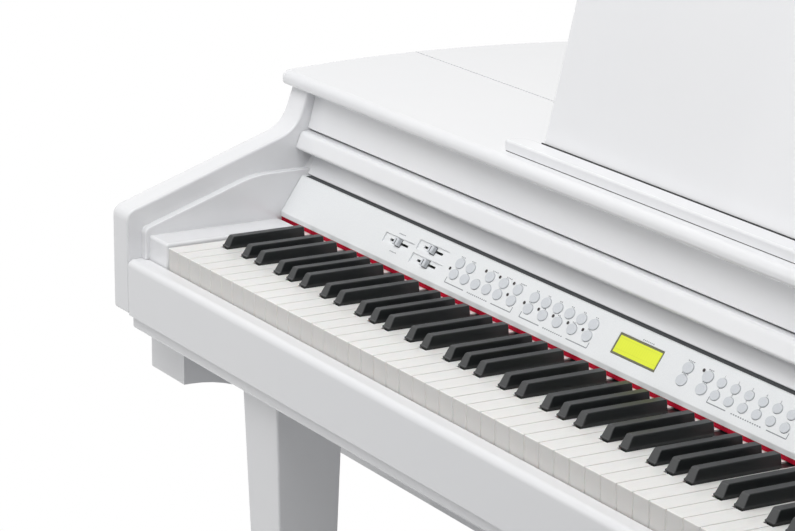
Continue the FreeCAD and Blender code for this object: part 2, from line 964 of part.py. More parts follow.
def cover_panel():
    half = arm_inner - track_width - 2 * end_gap
    y0 = key_front + rail_front + rail_depth
    y1 = key_front + cover_axis_depth - sheet_gap
    z = key_top + cover_axis_rise
    return box(-half, half, y0, y1, z - cover_sheet / 2, z + cover_sheet / 2)


def cover_brackets():
    y = key_front + cover_axis_depth
    z = key_top + cover_axis_rise
    low = z - cover_sheet / 2
    half = bracket_length / 2
    pieces = []
    for x in bracket_places:
        tongue = box(x - half, x + half, y - bracket_reach, y, low - bracket_thick, low)
        hub = rod_x(x - half, x + half, y, z, cover_hub_radius)
        hole = rod_x(x - half - 1, x + half + 1, y, z, cover_shaft_radius + running_clear)
        pieces.append(tongue.fuse(hub).cut(hole))
    return pieces


def cover_shaft():
    y = key_front + cover_axis_depth
    z = key_top + cover_axis_rise
    half = arm_inner - end_gap
    return rod_x(-half, half, y, z, cover_shaft_radius)


def cover_rollers():
    y = key_front + cover_axis_depth
    z = key_top + cover_axis_rise
    outer = arm_inner - end_gap
    ring = rod_x(outer - roller_width, outer, y, z, roller_radius)
    ring = ring.cut(rod_x(outer - roller_width - 1, outer + 1, y, z, cover_shaft_radius + running_clear))
    return both(ring)


def cover_tracks():
    top = key_top + cover_axis_rise - roller_radius - 0.1
    track = box(arm_inner - track_width, arm_inner, key_front + track_start, key_front + track_end,
                top - track_thick, top)
    return both(track)


# Keys

octave = "AaBCcDdEFfGg"
black_shift = {"c": -2.35, "d": 2.35, "f": -3.36, "g": 0.0, "a": 3.36}


def keyboard():
    """Lists (x0, x1, left cut, right cut) for white keys and centres for black keys."""
    names = [octave[i % 12] for i in range(88)]
    whites = []
    blacks = []
    edge = -keys_half
    half_slot = black_base / 2 + black_slot_clear
    for i, name in enumerate(names):
        if name.islower():
            blacks.append(edge + black_shift[name])
            continue
        left = 0.0
        right = 0.0
        if i > 0 and names[i - 1].islower():
            left = max(edge + black_shift[names[i - 1]] + half_slot - edge, 0.0)
        if i < 87 and names[i + 1].islower():
            right = max(half_slot - black_shift[names[i + 1]], 0.0)
        whites.append((edge, edge + white_pitch, left, right))
        edge += white_pitch
    return whites, blacks


def white_key(x0, x1, left, right):
    a = x0 + white_gap / 2
    b = x1 - white_gap / 2
    back = key_front + key_pivot_depth + key_tail
    low = key_top - white_thick
    key = box(a, b, key_front, back, low, key_top)
    y_head = key_front + white_head
    if left:
        key = key.cut(box(x0 - 1, x0 + left, y_head, back + 1, low - 1, key_top + 1))
    if right:
        key = key.cut(box(x1 - right, x1 + 1, y_head, back + 1, low - 1, key_top + 1))
    key = round_edges(key, 1.0, lambda e, p: near(p.y, key_front) and not near(p.z, low))
    hole = rod_x(x0 - 1, x1 + 1, key_front + key_pivot_depth, key_top - key_pivot_drop,
                 key_rod_radius + running_clear)
    return key.cut(hole)


def black_key(centre):
    front = black_front
    back = black_front + black_length
    corners = [
        (front, 0.5),
        (front, 2.0),
        (front + 1.2, 2.6),
        (front + 6.5, black_height, 3.0),
        (back, black_height, 1.0),
        (back, 0.5),
    ]
    body = side_prism(corners, -black_base, black_base)
    y0 = key_front + front - 1
    half_low = black_base / 2
    half_high = black_crown / 2
    ring = [(-half_low, 0.5), (half_low, 0.5), (half_low, 2.6), (half_high, black_height),
            (-half_high, black_height), (-half_low, 2.6)]
    points = [V(x, y0, key_top + z) for x, z in ring]
    trapezoid = Part.Face(Part.makePolygon(points + [points[0]])).extrude(V(0, black_length + 2, 0))
    cap = body.common(trapezoid)
    top = key_top + black_height

    def crown_edge(edge, p):
        return near(p.z, top) and abs(p.x) > half_high - 0.1

    cap = round_edges(cap, 0.8, crown_edge)
    tail = key_front + key_pivot_depth + key_tail
    stick = box(-half_low, half_low, key_front + front + 2, tail,
                key_top - white_thick, key_top - 1)
    neck = box(-half_low, half_low, key_front + front + 2, key_front + back - 2,
               key_top - 1.5, key_top + 1)
    key = cap.fuse([stick, neck])
    hole = rod_x(-black_base, black_base, key_front + key_pivot_depth, key_top - key_pivot_drop,
                 key_rod_radius + running_clear)
    key = key.cut(hole)
    key.translate(V(centre, 0, 0))
    return key


def key_rod():
    half = keys_half + block_gap - end_gap
    return rod_x(-half, half, key_front + key_pivot_depth, key_top - key_pivot_drop, key_rod_radius)


def key_frame():
    """Steel tray under the keys, with the ears that hold the pivot rod."""
    half = keys_half + block_gap - end_gap
    y0 = key_front + beam_front
    y1 = key_front + keybed_back
    tray = box(-half, half, y0, y1, keybed_top, keybed_top + frame_sheet)
    rest = box(-half, half, y0, y0 + rest_width, keybed_top, keybed_top + rest_height)
    pivot_y = key_front + key_pivot_depth
    pivot_z = key_top - key_pivot_drop
    ear = box(half - frame_sheet, half, pivot_y - ear_half, y1, keybed_top, pivot_z + ear_half)
    hole = rod_x(half - frame_sheet - 1, half + 1, pivot_y, pivot_z, key_rod_radius + running_clear)
    ear = ear.cut(hole)
    return tray.fuse([rest, ear, mirrored(ear)])


# Legs, lyre and pedals

def leg(x, depth, top):
    shape = tapered_leg(x, key_front + depth, foot_height, top, leg_foot, leg_top)
    return round_edges(shape, leg_round, lambda e, p: foot_height + 1 < p.z < top - 1)


def foot_pads():
    pads = []
    places = [(-leg_centre, leg_depth), (leg_centre, leg_depth), (0, rear_leg_depth)]
    for x, depth in places:
        y = key_front + depth
        pad = rod_z(x, y, 0, pad_height, pad_radius)
        pads.append(pad.fuse(rod_z(x, y, pad_height - 1, foot_height, stem_radius)))
    return pads


def lyre_box():
    y0 = key_front + lyre_front
    y1 = y0 + lyre_depth
    shell = box(-lyre_half, lyre_half, y0, y1, lyre_low, lyre_high)
    w = lyre_wall
    shell = round_edges(shell, lyre_round, lambda e, p: near(abs(p.x), lyre_half)
                        and lyre_low + 1 < p.z < lyre_high - 1)
    shell = shell.cut(box(-lyre_half + w, lyre_half - w, y0 + w, y1 - w, lyre_low + w, lyre_high - w))
    for i in (-1, 0, 1):
        x = i * pedal_pitch
        half = pedal_width / 2 + pedal_clear
        low = pedal_rise - pedal_fall
        high = pedal_rise + pedal_thick + pedal_clear
        shell = shell.cut(box(x - half, x + half, y0 - 1, y0 + w + 1, max(low, lyre_low + w), high))
    axis_y = key_front + pedal_axis_depth
    axis_z = pedal_rise + pedal_thick / 2
    hole = rod_x(-lyre_half + w / 2, lyre_half - w / 2, axis_y, axis_z, pedal_rod_radius + running_clear)
    return shell.cut(hole)


def pedal_rod():
    axis_y = key_front + pedal_axis_depth
    axis_z = pedal_rise + pedal_thick / 2
    half = lyre_half - lyre_wall / 2 - end_gap
    return rod_x(-half, half, axis_y, axis_z, pedal_rod_radius)


def lyre_posts():
    y = key_front + lyre_front + lyre_depth / 2
    h = post_size / 2
    post = box(post_place - h, post_place + h, y - h, y + h, lyre_high, case_low)
    post = round_edges(post, post_round, lambda e, p: lyre_high + 1 < p.z < case_low - 1)
    return both(post)


def pedal(x):
    front = key_front + lyre_front - pedal_reach
    axis_y = key_front + pedal_axis_depth
    half = pedal_width / 2
    narrow = pedal_lever_width / 2
    low = pedal_rise
    high = pedal_rise + pedal_thick
    toe_end = front + pedal_toe_length
    lever = box(x - narrow, x + narrow, toe_end - pedal_width / 2, axis_y, low, high)
    toe = box(x - half, x + half, front, toe_end, low, high)
    toe = round_edges(toe, half - end_gap, lambda e, p: near(p.y, front) and low + 1 < p.z < high - 1)
    hub = rod_x(x - narrow, x + narrow, axis_y, (low + high) / 2, pedal_thick)
    lever = toe.fuse([lever, hub]).removeSplitter()
    lever = round_edges(lever, 1.5, lambda e, p: near(p.z, high) and p.y < toe_end)
    hole = rod_x(x - half - 1, x + half + 1, axis_y, (low + high) / 2, pedal_rod_radius + running_clear)
    return lever.cut(hole)


# Inside the cabinet

def speakers():
    """Basket with a hollow cone and a magnet, hung from its lip in the deck."""
    top = key_top - deck_drop
    wide = speaker_radius - basket_seat - fit_gap
    narrow = magnet_radius - cone_wall
    pieces = []
    for x in (-speaker_place, speaker_place):
        y = key_front + speaker_depth
        lip = rod_z(x, y, top, top + basket_lip, speaker_radius)
        cone = Part.makeCone(narrow, wide, cone_depth, V(x, y, top - cone_depth), V(0, 0, 1))
        neck = rod_z(x, y, top - cone_depth, top + 1, narrow)
        magnet = rod_z(x, y, top - speaker_height, top - speaker_height + magnet_height, magnet_radius)
        hollow = Part.makeCone(narrow - cone_wall, wide - cone_wall, cone_depth,
                               V(x, y, top - cone_depth + basket_lip), V(0, 0, 1))
        pieces.append(lip.fuse([cone, neck, magnet]).cut(hollow))
    return pieces


def main_board():
    z = case_low + board_thick
    y = key_front + main_board_depth
    low = z + stand_height
    half = main_board_length / 2
    board = box(-half, half, y, y + main_board_width, low, low + board_sheet)
    pieces = []
    for x in (-half + main_board_edge, half - main_board_edge):
        for across in (main_board_edge, main_board_width - main_board_edge):
            pieces.append(rod_z(x, y + across, z, low + board_sheet / 2, stand_radius))
    for x, across, length, width, height in board_parts:
        pieces.append(box(x - length / 2, x + length / 2, y + across - width / 2, y + across + width / 2,
                          low + board_sheet / 2, low + board_sheet + height))
    return board.fuse(pieces)


def power_inlet():
    """Mains inlet in the back of the rim: a flange outside and an open shell inside."""
    back = arc_y + rim_radius
    y0 = back - inlet_length
    body = inlet_hole(-fit_gap, y0, back)
    flange = inlet_hole(4, back, back + inlet_flange)
    recess = inlet_hole(-inlet_wall, y0 + 6, back + inlet_flange + 1)
    return body.fuse(flange).cut(recess)


# Write every piece

def main():
    os.makedirs("parts", exist_ok=True)
    save("side_arms", *side_arms())
    right_rim, back_rim = rim_pieces()
    save("rim_sides", *both(right_rim))
    save("rim_back", back_rim.cut(inlet_hole(0, arc_y, arc_y + 2 * rim_radius)))
    save("bottom_board", bottom_board())
    save("speaker_deck", speaker_deck())
    save("front_apron", front_apron())
    save("side_beams", *side_beams())
    save("keybed", keybed())
    save("key_slip", key_slip())
    save("key_blocks", *key_blocks())
    save("cheek_panels", *cheek_panels())
    save("control_panel", control_panel())
    left, middle, right = button_sizes()
    save("buttons_left", *buttons(left))
    save("buttons_middle", *buttons(middle))
    save("buttons_right", *buttons(right))
    for name, place in zip(("knob_first", "knob_upper", "knob_lower"), knob_places):
        save(name, slider_knob(*place))
    save("screen", screen())
    save("control_board", control_board())
    save("key_felt", key_felt())
    save("trim_strip", trim_strip())
    save("fascia_board", fascia_board())
    board, lid = lid_boards()
    save("front_top_board", board)
    save("lid_main", lid)
    case_leaves, lid_leaves, pins = lid_hinges()
    save("lid_hinge_case", *case_leaves)
    save("lid_hinge_lid", *lid_leaves)
    save("lid_hinge_pins", *pins)
    save("lid_buffers", *lid_buffers())
    save("lid_prop", lid_prop())
    save("prop_bracket", *prop_bracket())
    save("prop_socket", prop_socket())
    save("desk_ledge", desk_ledge())
    save("music_desk", music_desk())
    save("desk_hinges", *desk_hinges())
    save("cover_rail", cover_rail())
    save("cover_panel", cover_panel())
    save("cover_brackets", *cover_brackets())
    save("cover_shaft", cover_shaft())
    save("cover_rollers", *cover_rollers())
    save("cover_tracks", *cover_tracks())
    whites, blacks = keyboard()
    for i, name in enumerate("abc"):
        save("white_keys_" + name, *[white_key(*w) for w in whites[i::3]])
    for i, name in enumerate("ab"):
        save("black_keys_" + name, *[black_key(c) for c in blacks[i::2]])
    save("key_rod", key_rod())
    save("key_frame", key_frame())
    save("front_legs", leg(-leg_centre, leg_depth, keybed_low), leg(leg_centre, leg_depth, keybed_low))
    save("rear_leg", leg(0, rear_leg_depth, case_low))
    save("foot_pads", *foot_pads())
    save("lyre_box", lyre_box())
    save("lyre_posts", *lyre_posts())
    save("pedal_rod", pedal_rod())
    for name, i in (("pedal_left", -1), ("pedal_middle", 0), ("pedal_right", 1)):
        save(name, pedal(i * pedal_pitch))
    save("speakers", *speakers())
    save("main_board", main_board())
    save("power_inlet", power_inlet())


main()
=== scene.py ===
import json
import math
import bpy
from mathutils import Matrix, Vector


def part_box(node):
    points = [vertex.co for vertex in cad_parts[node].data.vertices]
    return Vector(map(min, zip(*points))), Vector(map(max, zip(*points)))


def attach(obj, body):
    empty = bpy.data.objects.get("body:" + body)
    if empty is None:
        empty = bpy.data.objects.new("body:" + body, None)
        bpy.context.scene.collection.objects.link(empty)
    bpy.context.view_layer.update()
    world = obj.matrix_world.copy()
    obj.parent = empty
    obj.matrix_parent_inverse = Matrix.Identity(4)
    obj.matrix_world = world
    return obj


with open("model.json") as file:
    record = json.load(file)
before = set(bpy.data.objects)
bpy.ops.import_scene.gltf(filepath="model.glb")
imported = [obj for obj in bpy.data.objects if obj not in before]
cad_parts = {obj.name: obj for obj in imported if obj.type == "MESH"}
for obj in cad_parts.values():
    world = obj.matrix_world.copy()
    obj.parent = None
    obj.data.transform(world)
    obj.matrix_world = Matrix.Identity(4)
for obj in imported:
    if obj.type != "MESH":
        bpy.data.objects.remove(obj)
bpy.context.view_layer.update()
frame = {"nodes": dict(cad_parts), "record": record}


def linear(hexCode):
    # sRGB hex to the linear colour that Blender's sockets hold
    out = []
    for i in (1, 3, 5):
        c = int(hexCode[i:i + 2], 16) / 255
        out.append(c / 12.92 if c <= 0.04045 else ((c + 0.055) / 1.055) ** 2.4)
    return (out[0], out[1], out[2], 1.0)


def addNode(tree, kind, settings=None, links=None):
    # settings: attribute or socket name to value; links: socket name to another node's output
    new = tree.nodes.new(kind)
    for key, value in (settings or {}).items():
        if isinstance(key, str) and hasattr(new, key) and key not in new.inputs:
            setattr(new, key, value)
        else:
            new.inputs[key].default_value = value
    for key, source in (links or {}).items():
        tree.links.new(source, new.inputs[key])
    return new


def startMaterial(name, settings):
    material = bpy.data.materials.new(name)
    material.use_nodes = True
    tree = material.node_tree
    shader = tree.nodes["Principled BSDF"]
    for key, value in settings.items():
        shader.inputs[key].default_value = value
    place = addNode(tree, "ShaderNodeTexCoord").outputs["Object"]
    return material, tree, shader, place


def setRamp(ramp, stops):
    # stops: list of (position, colour)
    elements = ramp.color_ramp.elements
    while len(elements) > 1:
        elements.remove(elements[-1])
    elements[0].position, elements[0].color = stops[0]
    for position, colour in stops[1:]:
        elements.new(position).color = colour
    return ramp.outputs["Color"]


def dressShader(tree, shader, texture, stops, gloss=None, relief=None):
    # one texture drives the colour, and where given roughness (low, high) and bump (strength, depth)
    colour = setRamp(addNode(tree, "ShaderNodeValToRGB", None, {"Fac": texture}),
                     [(position, linear(code)) for position, code in stops])
    tree.links.new(colour, shader.inputs["Base Color"])
    if gloss:
        rough = addNode(tree, "ShaderNodeMapRange", {"To Min": gloss[0], "To Max": gloss[1]},
                        {"Value": texture})
        tree.links.new(rough.outputs["Result"], shader.inputs["Roughness"])
    if relief:
        bump = addNode(tree, "ShaderNodeBump", {"Strength": relief[0], "Distance": relief[1]},
                       {"Height": texture})
        tree.links.new(bump.outputs["Normal"], shader.inputs["Normal"])


print("helpers ready")


lacquerLook = {
    "body": "#f3f3f4", "cool": "#edeef1", "roughness": 0.16, "peelSize": 0.0022, "peelDepth": 0.00003,
    "coat": 0.35, "coatRoughness": 0.06,
}


def makeLacquer():
    # polyester lacquer sprayed on fibreboard and buffed: milky white, with a faint orange peel in the gloss
    look = lacquerLook
    material, tree, shader, place = startMaterial("polyesterLacquerWhite", {
        "IOR": 1.5, "Coat Weight": look["coat"], "Coat Roughness": look["coatRoughness"]})
    cloud = addNode(tree, "ShaderNodeTexNoise", {"Scale": 1 / 0.4, "Detail": 2.0}, {"Vector": place})
    tint = addNode(tree, "ShaderNodeMix", {"data_type": "RGBA"}, {"Factor": cloud.outputs["Fac"]})
    tint.inputs[6].default_value = linear(look["body"])
    tint.inputs[7].default_value = linear(look["cool"])
    tree.links.new(tint.outputs[2], shader.inputs["Base Color"])
    haze = addNode(tree, "ShaderNodeTexNoise", {"Scale": 1 / 0.06, "Detail": 3.0}, {"Vector": place})
    gloss = addNode(tree, "ShaderNodeMapRange", {"To Min": look["roughness"] - 0.03,
                    "To Max": look["roughness"] + 0.04}, {"Value": haze.outputs["Fac"]})
    tree.links.new(gloss.outputs["Result"], shader.inputs["Roughness"])
    peel = addNode(tree, "ShaderNodeTexNoise", {"Scale": 1 / look["peelSize"] / 4, "Detail": 1.0},
                   {"Vector": place})
    bump = addNode(tree, "ShaderNodeBump", {"Strength": 0.12, "Distance": look["peelDepth"]},
                   {"Height": peel.outputs["Fac"]})
    tree.links.new(bump.outputs["Normal"], shader.inputs["Normal"])
    return material


def makeCaseBoard():
    # fibreboard under one coat of primer: chalky, with the stipple of a roller
    material, tree, shader, place = startMaterial("primedFibreboard", {"IOR": 1.5})
    fibre = addNode(tree, "ShaderNodeTexNoise", {"Scale": 1 / 0.012, "Detail": 6.0, "Roughness": 0.65},
                    {"Vector": place})
    dressShader(tree, shader, fibre.outputs["Fac"], [(0.3, "#d6d3cc"), (0.7, "#e2e0da")],
                gloss=(0.55, 0.75))
    stipple = addNode(tree, "ShaderNodeTexNoise", {"Scale": 1 / 0.004, "Detail": 2.0}, {"Vector": place})
    bump = addNode(tree, "ShaderNodeBump", {"Strength": 0.3, "Distance": 0.0003},
                   {"Height": stipple.outputs["Fac"]})
    tree.links.new(bump.outputs["Normal"], shader.inputs["Normal"])
    return material


def makePanelPaint():
    # powder coat on folded steel: satin, with a fine even grain, drawn at 1 mm so that it shows
    material, tree, shader, place = startMaterial("powderCoatWhite", {"IOR": 1.5})
    speck = addNode(tree, "ShaderNodeTexNoise", {"Scale": 1 / 0.001, "Detail": 2.0}, {"Vector": place})
    dressShader(tree, shader, speck.outputs["Fac"], [(0.25, "#e9ebed"), (0.75, "#f0f2f3")],
                gloss=(0.32, 0.42), relief=(0.2, 0.00005))
    return material


def makeKeytop():
    # moulded acrylic keytop: warm white, polished on top, matt on the front lip, which is also painted a
    # little greyer as painted shade
    material, tree, shader, place = startMaterial("acrylicKeytop", {
        "IOR": 1.49, "Subsurface Weight": 0.05, "Subsurface Scale": 0.002})
    grain = addNode(tree, "ShaderNodeMapping", {"Scale": (1 / 0.0015, 1 / 0.02, 1 / 0.0015)},
                    {"Vector": place})
    streak = addNode(tree, "ShaderNodeTexNoise", {"Scale": 1.0, "Detail": 3.0},
                     {"Vector": grain.outputs["Vector"]})
    colour = setRamp(addNode(tree, "ShaderNodeValToRGB", None, {"Fac": streak.outputs["Fac"]}),
                     [(0.3, linear("#f2f1ee")), (0.7, linear("#f6f5f2"))])
    facing = addNode(tree, "ShaderNodeNewGeometry")
    parts = addNode(tree, "ShaderNodeSeparateXYZ", None, {"Vector": facing.outputs["Normal"]})
    front = addNode(tree, "ShaderNodeMapRange", {"From Min": -0.5, "From Max": -0.95},
                    {"Value": parts.outputs["Y"]})
    # painted shade: faces that look forward are mixed towards a greyer colour
    frontShadeTint = addNode(tree, "ShaderNodeMix", {"data_type": "RGBA"}, {"Factor": front.outputs["Result"]})
    tree.links.new(colour, frontShadeTint.inputs[6])
    frontShadeTint.inputs[7].default_value = linear("#dad8d5")
    tree.links.new(frontShadeTint.outputs[2], shader.inputs["Base Color"])
    gloss = addNode(tree, "ShaderNodeMapRange", {"To Min": 0.22, "To Max": 0.45},
                    {"Value": front.outputs["Result"]})
    tree.links.new(gloss.outputs["Result"], shader.inputs["Roughness"])
    bump = addNode(tree, "ShaderNodeBump", {"Strength": 0.08, "Distance": 0.00005},
                   {"Height": streak.outputs["Fac"]})
    tree.links.new(bump.outputs["Normal"], shader.inputs["Normal"])
    return material


def makeEbonyKey():
    # ABS moulded to look like ebony: near black, satin, with a fine grain along the key
    material, tree, shader, place = startMaterial("ebonyLookAbs", {"IOR": 1.54})
    grain = addNode(tree, "ShaderNodeMapping", {"Scale": (1 / 0.0008, 1 / 0.03, 1 / 0.0008)},
                    {"Vector": place})
    streak = addNode(tree, "ShaderNodeTexNoise", {"Scale": 1.0, "Detail": 4.0, "Roughness": 0.6},
                     {"Vector": grain.outputs["Vector"]})
    dressShader(tree, shader, streak.outputs["Fac"], [(0.3, "#0e1112"), (0.75, "#171b1d")],
                gloss=(0.26, 0.38), relief=(0.25, 0.00006))
    return material


def makeFelt():
    # pressed wool felt: deep red, no gloss, matted fibres of about 0.5 mm drawn at 1 mm
    material, tree, shader, place = startMaterial("pressedWoolFelt", {
        "Roughness": 0.95, "Specular IOR Level": 0.2, "IOR": 1.45})
    fibre = addNode(tree, "ShaderNodeTexNoise", {"Scale": 1 / 0.001, "Detail": 8.0, "Roughness": 0.7,
                    "Distortion": 1.5}, {"Vector": place})
    dressShader(tree, shader, fibre.outputs["Fac"], [(0.25, "#a00a26"), (0.75, "#d01236")],
                relief=(0.8, 0.0004))
    return material


def makeButtonAbs():
    # ABS with a spark-eroded skin: pale cool grey, matt, grain about 0.2 mm drawn at 0.6 mm
    material, tree, shader, place = startMaterial("texturedAbsGrey", {"IOR": 1.54})
    grit = addNode(tree, "ShaderNodeTexNoise", {"Scale": 1 / 0.0006, "Detail": 3.0}, {"Vector": place})
    dressShader(tree, shader, grit.outputs["Fac"], [(0.3, "#ced2d7"), (0.7, "#dadde1")],
                gloss=(0.4, 0.55), relief=(0.25, 0.00008))
    return material


def makeBlackAbs():
    # black moulded ABS: matt, with a faint leathery mould grain of about 1 mm
    material, tree, shader, place = startMaterial("mouldedAbsBlack", {"IOR": 1.54})
    cell = addNode(tree, "ShaderNodeTexVoronoi", {"Scale": 1 / 0.001}, {"Vector": place})
    dressShader(tree, shader, cell.outputs["Distance"], [(0.1, "#17181a"), (0.9, "#222426")],
                gloss=(0.45, 0.6), relief=(0.3, 0.0001))
    return material


def makeRubber():
    # moulded nitrile rubber: black going grey where dust sits, dull
    material, tree, shader, place = startMaterial("nitrileRubber", {"IOR": 1.52})
    dust = addNode(tree, "ShaderNodeTexNoise", {"Scale": 1 / 0.003, "Detail": 5.0}, {"Vector": place})
    dressShader(tree, shader, dust.outputs["Fac"], [(0.35, "#1a1a1b"), (0.8, "#38383a")], gloss=(0.7, 0.9))
    return material


def makeMetal(name, dark, pale, roughness, grainScale, depth):
    # drawn or brushed metal: colour and gloss streak along the line of the grain
    material, tree, shader, place = startMaterial(name, {"Metallic": 1.0})
    grain = addNode(tree, "ShaderNodeMapping", {"Scale": grainScale}, {"Vector": place})
    streak = addNode(tree, "ShaderNodeTexNoise", {"Scale": 1.0, "Detail": 5.0, "Roughness": 0.6},
                     {"Vector": grain.outputs["Vector"]})
    dressShader(tree, shader, streak.outputs["Fac"], [(0.3, dark), (0.7, pale)],
                gloss=(roughness - 0.07, roughness + 0.1), relief=(0.2, depth))
    return material


def makeCircuitBoard():
    # glass-epoxy board under green solder mask, with paler copper tracks 2.5 mm apart
    material, tree, shader, place = startMaterial("solderMaskGreen", {"IOR": 1.5, "Roughness": 0.35})
    track = addNode(tree, "ShaderNodeTexBrick", {"Scale": 1 / 0.02, "Mortar Size": 0.03,
                    "Color1": linear("#0d4a2b"), "Color2": linear("#125434"),
                    "Mortar": linear("#2c7a4e")}, {"Vector": place})
    tree.links.new(track.outputs["Color"], shader.inputs["Base Color"])
    bump = addNode(tree, "ShaderNodeBump", {"Strength": 0.2, "Distance": 0.00005},
                   {"Height": track.outputs["Fac"]})
    tree.links.new(bump.outputs["Normal"], shader.inputs["Normal"])
    return material


displayLook = {"lit": "#dbe51e", "pale": "#e3ec2c", "grid": "#cdd81a", "cell": 0.006, "glow": 0.14}


def makeSmokedLens():
    # smoked acrylic lens over an unlit lamp: near black, polished, with a faint swirl from the mould
    material, tree, shader, place = startMaterial("smokedAcrylic", {"IOR": 1.49, "Roughness": 0.15})
    swirl = addNode(tree, "ShaderNodeTexNoise", {"Scale": 1 / 0.002, "Detail": 2.0}, {"Vector": place})
    dressShader(tree, shader, swirl.outputs["Fac"], [(0.3, "#241a1b"), (0.7, "#33292a")])
    return material


def makePrintInk():
    # screen-printed grey ink: flat, with the faint pinholes of the mesh
    material, tree, shader, place = startMaterial("screenPrintInkGrey", {"IOR": 1.48, "Roughness": 0.6})
    mesh = addNode(tree, "ShaderNodeTexVoronoi", {"Scale": 1 / 0.0006}, {"Vector": place})
    dressShader(tree, shader, mesh.outputs["Distance"], [(0.1, "#85898e"), (0.9, "#96999d")])
    return material


def makeBezelAbs():
    # olive grey ABS bezel: satin, with a fine mould grain
    material, tree, shader, place = startMaterial("bezelAbsOlive", {"IOR": 1.54})
    grit = addNode(tree, "ShaderNodeTexNoise", {"Scale": 1 / 0.0008, "Detail": 3.0}, {"Vector": place})
    dressShader(tree, shader, grit.outputs["Fac"], [(0.3, "#5a5b3c"), (0.7, "#6a6b49")], gloss=(0.35, 0.5))
    return material


def makeDisplayGlow():
    # lit liquid crystal: yellow-green glow, paler in patches, with the faint grid of its cells
    material, tree, shader, place = startMaterial("backlitLiquidCrystal", {
        "IOR": 1.5, "Roughness": 0.12, "Emission Strength": displayLook["glow"]})
    cell = addNode(tree, "ShaderNodeTexBrick", {"Scale": 1 / displayLook["cell"], "Mortar Size": 0.035,
                   "offset": 0.0, "Brick Width": 0.6, "Row Height": 1.0,
                   "Color1": linear(displayLook["lit"]), "Color2": linear(displayLook["lit"]),
                   "Mortar": linear(displayLook["grid"])}, {"Vector": place})
    cloud = addNode(tree, "ShaderNodeTexNoise", {"Scale": 1 / 0.03, "Detail": 1.0}, {"Vector": place})
    tint = addNode(tree, "ShaderNodeMix", {"data_type": "RGBA"}, {"Factor": cloud.outputs["Fac"]})
    tree.links.new(cell.outputs["Color"], tint.inputs[6])
    tint.inputs[7].default_value = linear(displayLook["pale"])
    tree.links.new(tint.outputs[2], shader.inputs["Base Color"])
    tree.links.new(tint.outputs[2], shader.inputs["Emission Color"])
    return material


def makeConePaper():
    # pressed paper cone: charcoal, with fibres of about 2 mm and no gloss
    material, tree, shader, place = startMaterial("pressedPaperCone", {"IOR": 1.5, "Roughness": 0.9})
    fibre = addNode(tree, "ShaderNodeTexNoise", {"Scale": 1 / 0.002, "Detail": 6.0, "Distortion": 2.0},
                    {"Vector": place})
    dressShader(tree, shader, fibre.outputs["Fac"], [(0.3, "#1c1c1d"), (0.75, "#353537")],
                relief=(0.4, 0.0002))
    return material


def makeDarkFelt():
    # charcoal felt-like strip that stands in for painted shade: matt, with matted fibres of about 0.5 mm
    # drawn at 1 mm
    material, tree, shader, place = startMaterial("slotShadeCharcoal", {
        "Roughness": 0.95, "Specular IOR Level": 0.2, "IOR": 1.45})
    fibre = addNode(tree, "ShaderNodeTexNoise", {"Scale": 1 / 0.001, "Detail": 8.0, "Roughness": 0.7},
                    {"Vector": place})
    dressShader(tree, shader, fibre.outputs["Fac"], [(0.3, "#3c3e40"), (0.75, "#5c5f61")])
    return material


lacquer = makeLacquer()
caseBoard = makeCaseBoard()
panelPaint = makePanelPaint()
keytop = makeKeytop()
ebonyKey = makeEbonyKey()
redFelt = makeFelt()
buttonAbs = makeButtonAbs()
blackAbs = makeBlackAbs()
rubber = makeRubber()
circuitBoard = makeCircuitBoard()
steel = makeMetal("brushedSteel", "#8d9094", "#a9acb0", 0.34, (1 / 0.04, 1 / 0.0006, 1 / 0.0006), 0.00003)
brass = makeMetal("polishedBrass", "#c79a4b", "#d9b067", 0.2, (1 / 0.01, 1 / 0.01, 1 / 0.01), 0.00001)
smokedLens = makeSmokedLens()
greyInk = makePrintInk()
oliveBezel = makeBezelAbs()
displayGlow = makeDisplayGlow()
conePaper = makeConePaper()
slotShade = makeDarkFelt()
aluminium = makeMetal("drawnAluminium", "#b9bbbe", "#cfd1d4", 0.36, (1 / 0.0008, 1 / 0.05, 1 / 0.0008),
                      0.00003)

slotLooks = {
    "white_lacquer": lacquer, "case_board": caseBoard, "panel_paint": panelPaint, "white_key": keytop,
    "black_key": ebonyKey, "button_plastic": buttonAbs, "screen_plastic": blackAbs,
    "circuit_board": circuitBoard, "red_felt": redFelt, "steel": steel, "hinge_brass": brass,
    "aluminium": aluminium, "black_rubber": rubber, "black_plastic": blackAbs, "prop_wood": lacquer,
}
slotOf = {part["node"]: part["material_slot"] for part in frame["record"]["subparts"]}
for nodeName, nodeObject in frame["nodes"].items():
    nodeObject.data.materials.clear()
    nodeObject.data.materials.append(slotLooks[slotOf[nodeName]])
print("materials on", len(slotOf), "CAD nodes")


def clearSelection():
    if bpy.context.object and bpy.context.object.mode != "OBJECT":
        bpy.ops.object.mode_set(mode="OBJECT")
    bpy.ops.object.select_all(action="DESELECT")


def pickOnly(piece):
    clearSelection()
    bpy.context.view_layer.objects.active = piece
    piece.select_set(True)


def applyPlace(piece):
    pickOnly(piece)
    bpy.ops.object.transform_apply(location=True, rotation=True, scale=True)


def addBlock(name, middle, size):
    clearSelection()
    bpy.ops.mesh.primitive_cube_add(size=1, location=middle)
    block = bpy.context.object
    block.name = name
    block.scale = size
    applyPlace(block)
    return block


def addRound(name, middle, radius, height, sides):
    clearSelection()
    bpy.ops.mesh.primitive_cylinder_add(vertices=sides, radius=radius, depth=height, location=middle)
    rod = bpy.context.object
    rod.name = name
    applyPlace(rod)
    return rod


def selectFaces(piece, wanted):
    # edit mode with only the faces for which wanted(face) is true selected
    pickOnly(piece)
    bpy.ops.object.mode_set(mode="EDIT")
    bpy.ops.mesh.select_mode(type="FACE")
    bpy.ops.mesh.select_all(action="DESELECT")
    bpy.ops.object.mode_set(mode="OBJECT")
    for face in piece.data.polygons:
        face.select = wanted(face)
    bpy.ops.object.mode_set(mode="EDIT")


